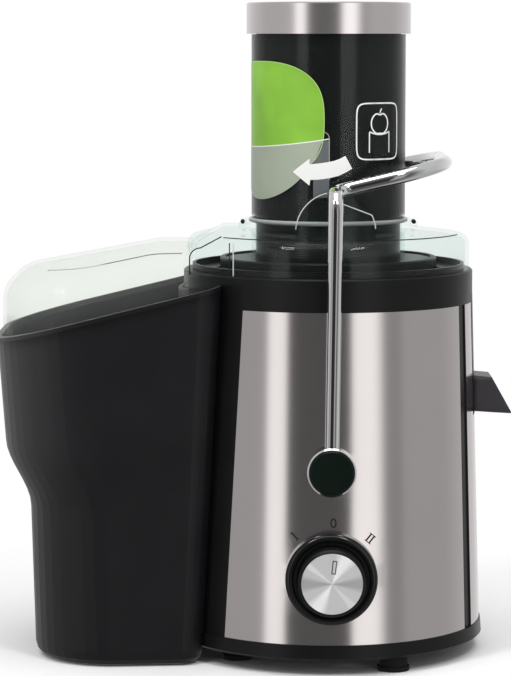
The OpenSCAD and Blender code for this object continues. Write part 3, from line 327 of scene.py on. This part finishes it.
wearing = {
    "black": ["base_pan", "body_shell", "juice_bowl", "basket_hub", "basket_rim", "drive_coupling",
              "speed_knob", "cooling_fan"],
    "smoothBlack": ["pusher"],
    "binBlack": ["pulp_bin"],
    "glossBlack": ["knob_bezel"],
    "capGloss": ["hub_cap_front", "hub_cap_rear"],
    "rubber": ["feet", "cord_gland", "shaft_seal", "motor_mounts"],
    "switchPlastic": ["rotary_switch"],
    "redPlastic": ["interlock_switch"],
    "panel": ["front_panel", "rear_panel"],
    "capSteel": ["pusher_cap"],
    "chrome": ["lock_arm"],
    "knobFace": ["knob_face"],
    "steel": ["base_screws", "motor_studs", "upper_bearing", "lower_bearing"],
    "pinSteel": ["pivot_pins", "switch_shaft", "motor_shaft"],
    "sieveSteel": ["grater_disc", "sieve"],
    "laminated": ["armature_core", "stator_core"],
    "copper": ["armature_winding", "commutator", "field_coils"],
    "cast": ["upper_bracket", "lower_bracket"],
    "brass": ["brush_holders"],
    "carbon": ["carbon_brushes"],
    "lidClear": ["lid"],
    "coverClear": ["bin_cover"],
}
for look, names in wearing.items():
    for name in names:
        mesh = nodes[name].data
        mesh.materials.clear()
        mesh.materials.append(looks[look])
undressed = sorted(set(nodes) - {name for names in wearing.values() for name in names})
print("materials; nodes without one:", undressed)


camera = {"x": 0.00005, "y": -1.6356, "z": 0.355, "pitch": 6.09, "lens": 151.24}
lensData = bpy.data.cameras.new("camera")
lensData.lens = camera["lens"]
lensData.sensor_fit = "VERTICAL"
lensData.sensor_height = 36
lensData.clip_end = 50
eye = bpy.data.objects.new("camera", lensData)
eye.location = (camera["x"], camera["y"], camera["z"])
eye.rotation_euler = (math.radians(90 - camera["pitch"]), 0, 0)
bpy.context.scene.collection.objects.link(eye)
bpy.context.scene.camera = eye

floorLook = {"radius": 1.3, "rings": 16, "colour": (0.88, 0.88, 0.88), "fadeFrom": 0.14, "fadeTo": 0.4}


def addMesh(name, points, faces, material, smooth=True, weld=False):
    # an object from points in metres and faces; weld merges doubles and turns the faces outwards
    mesh = bpy.data.meshes.new(name)
    mesh.from_pydata(points.tolist(), [], faces if isinstance(faces, list) else faces.tolist())
    if weld:
        shape = bmesh.new()
        shape.from_mesh(mesh)
        bmesh.ops.remove_doubles(shape, verts=shape.verts, dist=1e-6)
        bmesh.ops.dissolve_degenerate(shape, edges=shape.edges, dist=1e-7)
        bmesh.ops.recalc_face_normals(shape, faces=shape.faces)
        shape.to_mesh(mesh)
        shape.free()
    mesh.materials.append(material)
    mesh.polygons.foreach_set("use_smooth", np.full(len(mesh.polygons), smooth))
    mesh.update()
    made = bpy.data.objects.new(name, mesh)
    bpy.context.scene.collection.objects.link(made)
    return made


def gridFaces(rows, columns, closed=False):
    # quads between neighbouring points of a grid stored row by row; closed joins the last column to the first
    a = np.arange(rows - 1)[:, None] * columns
    b = np.arange(columns if closed else columns - 1)[None, :]
    c = (b + 1) % columns
    return np.stack([a + b, a + c, a + columns + c, a + columns + b], axis=-1).reshape(-1, 4)


def floorMaterial():
    # matt and pale under the object, so it keeps its shadow, and plain white further out for the eye
    shader = Shader("floor")
    x, y, z = shader.parts(shader.coords())
    away = ((x * x + y * y) ** 0.5) * mm
    near, far = floorLook["fadeFrom"], floorLook["fadeTo"]
    fade = away.over((near + far) / 2, far - near)
    path = shader.node("LightPath").socket.node.outputs
    seen = Link(shader, path["Is Camera Ray"]).max(Link(shader, path["Is Transmission Ray"]))
    matt = shader.node("BsdfDiffuse", None, {"Color": floorLook["colour"]})
    white = shader.node("Emission", None, {"Color": (1.0, 1.0, 1.0), "Strength": 1.0})
    return shader.finish(shader.node("MixShader", None, [fade * seen, matt, white]))


# the floor: rings of growing radius round the motor's axis
turn = np.linspace(0, 2 * np.pi, 64, endpoint=False)
radii = np.linspace(0.001, floorLook["radius"], floorLook["rings"])
floorPoints = np.stack([axisX + radii[:, None] * np.cos(turn), axisY + radii[:, None] * np.sin(turn),
                        np.zeros((len(radii), len(turn)))], axis=-1).reshape(-1, 3)
floor = addMesh("floor", floorPoints, gridFaces(len(radii), len(turn), True), floorMaterial())
floor.visible_glossy = False  # the steel mirrors the strips down to its foot


studio = {"dark": 0.125, "side": 0.55, "back": 0.9, "above": 0.6,
          "strips": [(-49, -33, 1.6), (17, 40, 1.6)], "dip": (51, 7, 0.4), "floor": 0.45}


def worldLight():
    # what gloss and metal mirror, by the angle round the object: a dark card in front between two bright
    # strips, soft grey at the sides, light behind and above; white to the eye
    shader = Shader("studio", world=True)
    x, y, z = shader.parts(shader.node("TexCoord", out="Generated"))
    path = shader.node("LightPath").socket.node.outputs
    seen = Link(shader, path["Is Camera Ray"]).max(Link(shader, path["Is Transmission Ray"]))
    azimuth = x.angle(0.0 - y) * (180 / math.pi)
    glow = studio["side"] + azimuth.abs().over(130, 60) * (studio["back"] - studio["side"])
    (leftFrom, leftTo, leftGlow), (rightFrom, rightTo, rightGlow) = studio["strips"]
    card = azimuth.over(leftTo, 3) * (1 - azimuth.over(rightFrom, 3))
    glow = glow + card * (studio["dark"] - studio["side"])
    glow = glow + azimuth.over(leftFrom, 4) * (1 - azimuth.over(leftTo, 3)) * (leftGlow - studio["side"])
    glow = glow + azimuth.over(rightFrom, 3) * (1 - azimuth.over(rightTo, 8)) * (rightGlow - studio["side"])
    middle, half, dim = studio["dip"]
    glow = glow + (1 - (azimuth - middle).abs().over(half, 6)) * (dim - studio["side"])
    low = 1 - z.over(-0.3, 0.25)
    glow = glow + low * (studio["floor"] - glow)
    high = z.over(0.45, 0.3)
    glow = glow + high * (studio["above"] - glow)
    return shader.finish(shader.node("Background", None, {"Color": (1.0, 1.0, 1.0),
                                                          "Strength": glow * (1 - seen) + seen}))


bpy.context.scene.world = worldLight()
bpy.context.scene.view_settings.view_transform = "Standard"

lampList = {
    "top": {"azimuth": 0, "distance": 0.3, "height": 1.8, "size": (1.2, 1.2), "power": 12},
    "boxLeft": {"azimuth": -42, "distance": 1.1, "height": 1.4, "size": (0.22, 0.4), "power": 7},
    "boxRight": {"azimuth": 28, "distance": 1.1, "height": 1.4, "size": (0.26, 0.4), "power": 7},
}
for name, lamp in lampList.items():
    light = bpy.data.lights.new(name, "AREA")
    light.shape = "RECTANGLE"
    light.size, light.size_y = lamp["size"]
    light.energy = lamp["power"]
    made = bpy.data.objects.new(name, light)
    angle = math.radians(lamp["azimuth"])
    away = lamp["distance"]
    made.location = (axisX + away * math.sin(angle), axisY - away * math.cos(angle), lamp["height"])
    aim = mathutils.Vector((axisX, axisY, 0.18)) - made.location
    made.rotation_euler = aim.to_track_quat("-Z", "Y").to_euler()
    bpy.context.scene.collection.objects.link(made)
print("camera, floor and lamps")


def slab(front, back, closed=False):
    # points and faces between two like grids of points, shut along their borders;
    # closed joins the last row to the first
    rows, columns = front.shape[:2]
    index = np.arange(rows * columns).reshape(rows, columns)
    across = np.vstack([index, index[:1]]) if closed else index
    quads = np.stack([across[:-1, :-1], across[:-1, 1:], across[1:, 1:], across[1:, :-1]], axis=-1)
    quads = quads.reshape(-1, 4)
    if closed:
        loops = [across[:, 0], across[::-1, -1]]
    else:
        border = [index[0, :-1], index[:-1, -1], index[-1, :0:-1], index[:0:-1, 0], index[0, :1]]
        loops = [np.concatenate(border)]
    count = rows * columns
    rims = [np.stack([loop[1:], loop[:-1], loop[:-1] + count, loop[1:] + count], axis=-1) for loop in loops]
    return (np.concatenate([front.reshape(-1, 3), back.reshape(-1, 3)]),
            np.concatenate([quads, quads[:, ::-1] + count] + rims))


def band(line, half, columns=2, closed=False):
    # grid of flat places: a line of points in mm widened by half to both sides, square to its run
    line = np.asarray(line, float)
    run = np.roll(line, -1, 0) - np.roll(line, 1, 0) if closed else np.gradient(line, axis=0)
    run = run / np.maximum(np.linalg.norm(run, axis=1, keepdims=True), 1e-9)
    side = np.stack([-run[:, 1], run[:, 0]], axis=-1)
    halves = np.broadcast_to(np.asarray(half, float), len(line))
    spread = np.linspace(-1, 1, columns)[None, :, None] * halves[:, None, None]
    return line[:, None, :] + side[:, None, :] * spread


def turnedBy(line, lean, centre):
    # a flat line turned clockwise about its own origin by lean in degrees, then moved to its centre
    angle = math.radians(lean)
    turn = np.array([[math.cos(angle), -math.sin(angle)], [math.sin(angle), math.cos(angle)]])
    return np.asarray(line, float) @ turn + centre


def nodePoints(name):
    # the corner points of a CAD node, in metres
    mesh = nodes[name].data
    points = np.empty(len(mesh.vertices) * 3)
    mesh.vertices.foreach_get("co", points)
    return points.reshape(-1, 3)


def outerRadius(name, low, high):
    # a node's widest radius round the motor's axis between two heights
    points = nodePoints(name)
    chosen = points[(points[:, 2] >= low) & (points[:, 2] <= high)]
    return np.hypot(chosen[:, 0] - axisX, chosen[:, 1] - axisY).max()


def onCylinder(radius, angle, z):
    # places at an angle round the motor's axis: 0 is the front and it grows to the right
    return np.stack([axisX + radius * np.sin(angle), axisY - radius * np.cos(angle), z], axis=-1)


panelLow, panelHigh = bodyLow[2], bodyHigh[2]
edgeDepth = 0.002
panelRadii = [outerRadius("front_panel", panelLow, panelLow + edgeDepth),
              outerRadius("front_panel", panelHigh - edgeDepth, panelHigh)]
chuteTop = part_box("lid")[1][2]
chuteRadius = outerRadius("lid", chuteTop - edgeDepth, chuteTop)
chuteMm = chuteRadius / mm
perDegree = math.radians(1) * chuteMm


def ontoPanel(flat, lift):
    # places seen from the front (x from the axis, z up, in mm), laid on the panel's cone
    x, z = flat[..., 0] * mm, flat[..., 1] * mm
    share = (z - panelLow) / (panelHigh - panelLow)
    radius = panelRadii[0] + (panelRadii[1] - panelRadii[0]) * share + lift
    return np.stack([axisX + x, axisY - np.sqrt(radius ** 2 - x ** 2), z], axis=-1)


def ontoChute(flat, lift):
    # places given as mm along the chute's wall from its front, and as height in mm
    return onCylinder(chuteRadius + lift, flat[..., 0] / chuteMm, flat[..., 1] * mm)


def laid(name, flat, onto, body, look, lift=0.02, thick=0.1, closed=False):
    # a thin slab on a surface: the flat places carried onto it at two lifts, in mm, and joined at the border
    points, faces = slab(onto(flat, (lift + thick) * mm), onto(flat, lift * mm), closed)
    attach(addMesh(name, points, faces, looks[look], False, True), body)


def ring(centre, wide, high, count=40, power=2.0):
    # closed line: an ellipse, or a rounded box when the power is above 2
    angle = np.linspace(0, 2 * np.pi, count, endpoint=False)
    c, s = np.cos(angle), np.sin(angle)
    return np.stack([centre[0] + wide * np.sign(c) * np.abs(c) ** (2 / power),
                     centre[1] + high * np.sign(s) * np.abs(s) ** (2 / power)], axis=-1)


def disc(centre, wide, high, power=2.0, rows=49):
    # the same outline filled, as a band of changing width along its upright middle line
    angle = np.linspace(-np.pi / 2, np.pi / 2, rows)
    s = np.sin(angle)
    rise = high * np.sign(s) * np.abs(s) ** (2 / power)
    line = np.stack([np.full(rows, centre[0]), centre[1] + rise], axis=-1)
    return band(line, wide * np.cos(angle) ** (2 / power), rows)


# the speed marks round the knob, printed on the steel: each at its x, height and turn
marks = {"stroke": 0.42, "half": 2.4, "serif": 1.0, "serifStroke": 0.22, "gap": 1.1, "zeroHalf": (1.35, 2.3),
         "zero": (1.2, 86.1), "one": (-20.3, 78.5, -45), "two": (21.7, 77.1, 40)}


def mark(name, flat, lift=0.02, closed=False):
    # a mark of ink on the steel
    laid("mark_" + name, flat, ontoPanel, "housing", "markInk", lift, closed=closed)


mark("zero", band(ring(marks["zero"], *marks["zeroHalf"], 32), marks["stroke"], closed=True), closed=True)
half = marks["half"]
for name, offsets in (("one", [0]), ("two", [-marks["gap"], marks["gap"]])):
    x, z, angle = marks[name]
    for number, offset in enumerate(offsets):
        stem = turnedBy([[offset, v] for v in (-half, 0, half)], angle, (x, z))
        mark(f"{name}_stem_{number}", band(stem, marks["stroke"]))
    reach = marks["serif"] + offsets[-1]
    for number, end in enumerate((-half, half)):
        serif = turnedBy([[u, end] for u in (-reach, 0, reach)], angle, (x, z))
        mark(f"{name}_serif_{number}", band(serif, marks["serifStroke"]), 0.03)


def degrees(*pairs):
    # label places from degrees round the chute to mm along its wall
    return [[math.radians(angle) * chuteMm, z] for angle, z in pairs]


def printed(name, flat, look="labelWhite", lift=0.02, closed=False):
    # a part of the label on the chute
    laid("label_" + name, flat, ontoChute, "lid_set", look, lift, closed=closed)


# the label on the chute, without words: a green fruit that goes into a clear glass
label = {"fruit": (-62, 307), "fruitWide": 57.5, "fruitHigh": 33.2, "fruitDeep": 45, "power": 2.8,
         "edge": 0.2, "glassLeft": -118, "glassRight": -0.8, "glassTop": 291.5, "rimRise": 5.5,
         "riseFrom": -86, "rimLine": 0.28, "wallLeft": -12.5, "wallLow": 264, "sideLow": 274,
         "wallLine": 0.22, "backLine": 0.2,
         "back": ((0, 0), (-0.2, 1.4), (-1.2, 2.8), (-2.8, 3.6), (-4.2, 4.0))}
fruitAt = degrees(label["fruit"])[0]
fruitHalf = label["fruitWide"] * perDegree, label["fruitHigh"]
fruitEdge = ring(fruitAt, *fruitHalf, 240, label["power"])
printed("fruit", disc(fruitAt, *fruitHalf, label["power"]), "labelGreen")
printed("fruit_edge", band(fruitEdge, label["edge"], closed=True), "labelPale", 0.06, True)


def rimHeight(angle):
    # the glass's rim, which lifts towards the right
    share = max(angle - label["riseFrom"], 0) / (label["glassRight"] - label["riseFrom"])
    return label["glassTop"] + label["rimRise"] * share ** 2


def fruitLow(angle):
    # the fruit's underside, seen through the glass
    share = min(abs(angle - label["fruit"][0]) / label["fruitWide"], 1)
    return min(label["fruit"][1] - label["fruitDeep"] * math.sqrt(1 - share ** 2), rimHeight(angle) - 0.1)


steps = np.linspace(label["glassLeft"], label["fruit"][0] + label["fruitWide"], 49)
printed("glass", np.array([degrees((a, fruitLow(a)), (a, rimHeight(a))) for a in steps]), "labelGrey", 0.1)
rim = [(a, rimHeight(a)) for a in np.linspace(label["glassLeft"], label["glassRight"], 49)]
printed("glass_rim", band(degrees(*rim), label["rimLine"]), lift=0.16)
right, rimTop = rim[-1]
wallAt = (label["wallLeft"] + right) / 2
wallLine = degrees(*[(wallAt, z) for z in (label["wallLow"], 280, rimTop - 1)])
printed("glass_shade", band(wallLine, (right - wallAt) * perDegree, 21), "labelShade")
sideLine = degrees(*[(right, z) for z in (label["sideLow"], 286, rimTop)])
printed("glass_side", band(sideLine, label["wallLine"]), "labelGrey", 0.16)
backRim = degrees(*[(right + turn, rimTop + rise) for turn, rise in label["back"]])
printed("glass_back", band(backRim, label["backLine"]), "labelGrey", 0.18)

# the arrow: a band that curves round to the left and widens into its head; degrees, height and half width
arrow = ((13.5, 283.9, 4.1), (9, 282.0, 4.2), (4.3, 280.5, 4.4), (-1, 279.6, 4.5), (-5.7, 279.0, 4.5),
         (-10, 278.6, 4.5), (-14.9, 278.4, 4.4), (-15.2, 278.4, 7.6), (-19, 278.4, 5.3), (-23.5, 278.4, 2.7),
         (-28, 278.4, 0.05))
printed("arrow", band(degrees(*[place[:2] for place in arrow]), [place[2] for place in arrow], 3), lift=0.24)

# the pictogram: a fruit over a cup in a rounded frame; places from the frame's middle in mm
sign = {"at": (39.5, 301), "half": (15.5, 15.8), "corner": 7.0, "stroke": 0.42, "apple": 6.2, "appleUp": 4.4,
        "topDip": (0.22, 0.32), "lowDip": (0.1, 0.3), "stalk": ((0, 10.2), (0.4, 11.6), (1.2, 12.8)),
        "stalkStroke": 0.35, "cup": 7.4, "cupHeights": (-0.5, -5, -12), "cupStroke": 0.38,
        "cupRim": (-1.8, 1.6)}
middle = np.array(degrees(sign["at"])[0])
frameLine = ring(middle, *sign["half"], 72, sign["corner"])
printed("frame", band(frameLine, sign["stroke"], closed=True), closed=True)
angle = np.linspace(0, 2 * np.pi, 48, endpoint=False)
dip = 1
for at, (deep, wide) in ((np.pi / 2, sign["topDip"]), (3 * np.pi / 2, sign["lowDip"])):
    dip = dip - deep * np.exp(-((angle - at) / wide) ** 2)
reach = sign["apple"] * dip
apple = np.stack([reach * np.cos(angle), sign["appleUp"] + reach * np.sin(angle)], axis=-1)
printed("apple", band(middle + apple, sign["stroke"], closed=True), closed=True)
printed("stalk", band(middle + sign["stalk"], sign["stalkStroke"]))
for number, side in enumerate((-1, 1)):
    wall = [(side * sign["cup"], height) for height in sign["cupHeights"]]
    printed(f"cup_{number}", band(middle + wall, sign["cupStroke"]))
sweep = np.linspace(-1, 1, 15)
cupLow, cupSag = sign["cupRim"]
cupRim = np.stack([sweep * sign["cup"], cupLow + cupSag * sweep ** 2], axis=-1)
printed("cup_rim", band(middle + cupRim, sign["cupStroke"]), lift=0.06)
print("marks and label")


def wire(name, path, radius, body, look, closed=False, sides=8):
    # a round line of one radius along a path of points in mm from the motor's axis, its ends shut
    path = np.asarray(path, float)
    run = np.roll(path, -1, 0) - np.roll(path, 1, 0) if closed else np.gradient(path, axis=0)
    run /= np.linalg.norm(run, axis=1, keepdims=True)
    # a ring is turned from a direction that the run never follows: upwards, or to the back on an upright run
    spare = np.where(np.abs(run[:, 2:]) < 0.9, [[0.0, 0.0, 1.0]], [[0.0, 1.0, 0.0]])
    if (np.abs(run[:, 2]) > 0.9).any():
        spare = np.tile([[0.0, 1.0, 0.0]], (len(path), 1)) if np.abs(run[:, 1]).max() < 0.9 else spare
    first = np.cross(spare, run)
    first /= np.linalg.norm(first, axis=1, keepdims=True)
    second = np.cross(run, first)
    around = np.linspace(0, 2 * np.pi, sides, endpoint=False)
    points = path[:, None, :] + radius * (first[:, None] * np.cos(around)[None, :, None]
                                          + second[:, None] * np.sin(around)[None, :, None])
    rows = len(path)
    faces = gridFaces(rows, sides, True)
    last, a, b = (rows - 1) * sides, np.arange(sides), (np.arange(sides) + 1) % sides
    points = points.reshape(-1, 3)
    if closed:
        faces = np.concatenate([faces, np.stack([last + a, last + b, b, a], axis=-1)]).tolist()
    else:
        # each end is a fan round its middle
        points = np.concatenate([points, path[:1], path[-1:]])
        middle = np.full(sides, rows * sides)
        faces = faces.tolist() + np.stack([middle, b, a], axis=-1).tolist() + np.stack(
            [middle + 1, last + a, last + b], axis=-1).tolist()
    points = points * mm + [axisX, axisY, 0]
    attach(addMesh(name, points, faces, looks[look], True, True), body)


def circle(radius, height, span=(-180, 180), count=120):
    # places round the motor's axis; 0 degrees is the front and the angle grows to the right
    whole = span[1] - span[0] >= 360
    turn = np.radians(np.linspace(*span, count, endpoint=not whole))
    return np.stack([radius * np.sin(turn), -radius * np.cos(turn), np.full(count, height)], axis=-1)


# painted highlight lines and painted dark lines that stand in for how the clear lid's edges catch and bend
# the light: round ones at its foot, its shoulder and the collar under the chute
lidPoints = (nodePoints("lid") - [axisX, axisY, 0]) / mm
foot = {"radius": 80.95, "height": 214.8, "span": (-76, 112), "line": 0.28}
shoulder = {"radius": 76.0, "height": 241.75, "spans": ((-52, -30), (22, 74)), "line": 0.3}
collar = {"radius": 44.7, "height": 249.2, "line": 1.3}
footCircle = circle(foot["radius"], foot["height"], foot["span"])
wire("lid_foot_line", footCircle, foot["line"], "lid_set", "paintedEdgeHighlight")
for number, span in enumerate(shoulder["spans"]):
    arc = circle(shoulder["radius"], shoulder["height"], span, 40)
    wire(f"lid_shoulder_line_{number}", arc, shoulder["line"], "lid_set", "paintedEdgeShadeAndPins")
collarCircle = circle(collar["radius"], collar["height"])
wire("lid_collar_line", collarCircle, collar["line"], "lid_set", "paintedCollarHighlight", True)

# a saddle's outline, drawn as a painted highlight line: up its round side, down into the notch, along the
# slope and down its other side
saddle = {"x": 2.5, "z": 246.0, "radius": 22.25, "line": 0.32, "notch": -2.25, "flat": 1.0, "notchZ": 263.7,
          "slope": 0.375, "left": 176, "right": 5}


def saddlePlace(turn):
    # place on the saddle's round outline, by degrees up from its right end
    lean = math.radians(turn)
    return saddle["x"] + saddle["radius"] * math.cos(lean), saddle["z"] + saddle["radius"] * math.sin(lean)


def rampHeight(x):
    # height of the slope that leads out of the notch
    return saddle["notchZ"] - (x - saddle["flat"]) * saddle["slope"]


leftTop = math.degrees(math.acos((saddle["notch"] - saddle["x"]) / saddle["radius"]))
leftSide = [saddlePlace(a) for a in np.linspace(saddle["left"], leftTop, 24)]
# the slope ends where the round side comes to lie below it
below = [a for a in np.linspace(saddle["right"], 90, 400)
         if saddlePlace(a)[1] < rampHeight(saddlePlace(a)[0])]
meets = below[-1]
rightSide = [saddlePlace(a) for a in np.linspace(meets, saddle["right"], 16)]
ramp = [(x, rampHeight(x)) for x in np.linspace(saddle["flat"], rightSide[0][0], 10)[:-1]]
x, y, z = np.abs(lidPoints).T
saddleEdge = y[(z > saddle["z"] + 8) & (x < 26) & (y > 50)].max() - 0.1
for name, side in (("front", -1), ("rear", 1)):
    for part, outline in (("left", leftSide), ("right", ramp + rightSide)):
        path = [(x, side * saddleEdge, z) for x, z in outline]
        wire(f"saddle_line_{name}_{part}", path, saddle["line"], "lid_set", "paintedEdgeHighlight")

# the outlet: a painted dark line along its side's edge, and a painted highlight line and a painted dark line
# at the rib where it leaves the round lid
outlet = {"round": 6.0, "top": 236.9, "knee": (-61.0, 243.2), "line": 0.35, "rib": 81.0,
          "ribHeights": (215.5, 222, 230, 239.5)}
mouth = lidPoints[(lidPoints[:, 0] < -70) & (np.abs(lidPoints[:, 1]) > 50)]
mouthX, mouthY, mouthLow = mouth.min(axis=0)
bendRadius, top = outlet["round"], outlet["top"]
bend = [(mouthX + bendRadius * (1 - math.cos(a)), top - bendRadius * (1 - math.sin(a)))
        for a in np.linspace(0, math.pi / 2, 10)]
side = [(mouthX, mouthLow + 1.0), (mouthX, (mouthLow + top) / 2)] + bend + [outlet["knee"]]
path = [(x, mouthY + 0.1, z) for x, z in side]
wire("outlet_edge_line", path, outlet["line"], "lid_set", "paintedEdgeShadeAndPins")
for number, (angle, look, thick) in enumerate(((-42.2, "paintedEdgeHighlight", 0.4), (-44.3, "paintedEdgeShadeAndPins", 0.32))):
    turn = math.radians(angle)
    x, y = outlet["rib"] * math.sin(turn), -outlet["rib"] * math.cos(turn)
    wire(f"outlet_rib_line_{number}", [(x, y, z) for z in outlet["ribHeights"]], thick, "lid_set", look)

# painted highlight and painted shade lines along the cover's rounded edge at its near top: its run in plan,
# laid on the surface below
cover = {"plan": ((-158.6, -49.4), (-151.5, -54.0), (-144.6, -57.0), (-138.3, -58.6), (-131.0, -59.6),
                  (-117.6, -60.6), (-101.3, -61.6), (-92.0, -61.2), (-83.0, -60.6)),
         "split": -127.0, "line": 0.26, "places": 24}
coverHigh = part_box("bin_cover")[1][2] + 0.05


def coverPlace(x):
    # place on the cover at x: its depth from the plan, its height from a ray straight down
    y = np.interp(x, *np.transpose(cover["plan"]))
    start = mathutils.Vector((axisX + x * mm, axisY + y * mm, coverHigh))
    place = nodes["bin_cover"].ray_cast(start, mathutils.Vector((0, 0, -1)))[1]
    return [x, y, place.z / mm]


farEnd, nearEnd = cover["plan"][0][0], cover["plan"][-1][0]
for part, look, start, end in (("pale", "paintedCoverHighlight", farEnd, cover["split"]),
                               ("dark", "paintedCoverShade", cover["split"], nearEnd)):
    found = np.array([coverPlace(x) for x in np.linspace(start, end, cover["places"])])
    # even out the steps between the wall's facets
    eased = found.copy()
    eased[2:-2] = (found[:-4] + found[1:-3] + found[2:-2] + found[3:-1] + found[4:]) / 5
    wire(f"cover_edge_line_{part}", eased, cover["line"], "bin", look)

# the catches at the collar's sides show their pins end on
pin = {"x": 49.4, "height": 247.9, "ends": (-3.4, -1.5, 1.5, 3.4), "radius": 1.25}
for name, x in (("left", -pin["x"]), ("right", pin["x"])):
    path = [(x, y, pin["height"]) for y in pin["ends"]]
    wire(f"catch_pin_{name}", path, pin["radius"], "lid_set", "paintedEdgeShadeAndPins", sides=16)
print("paintedEdgeLines and pins")
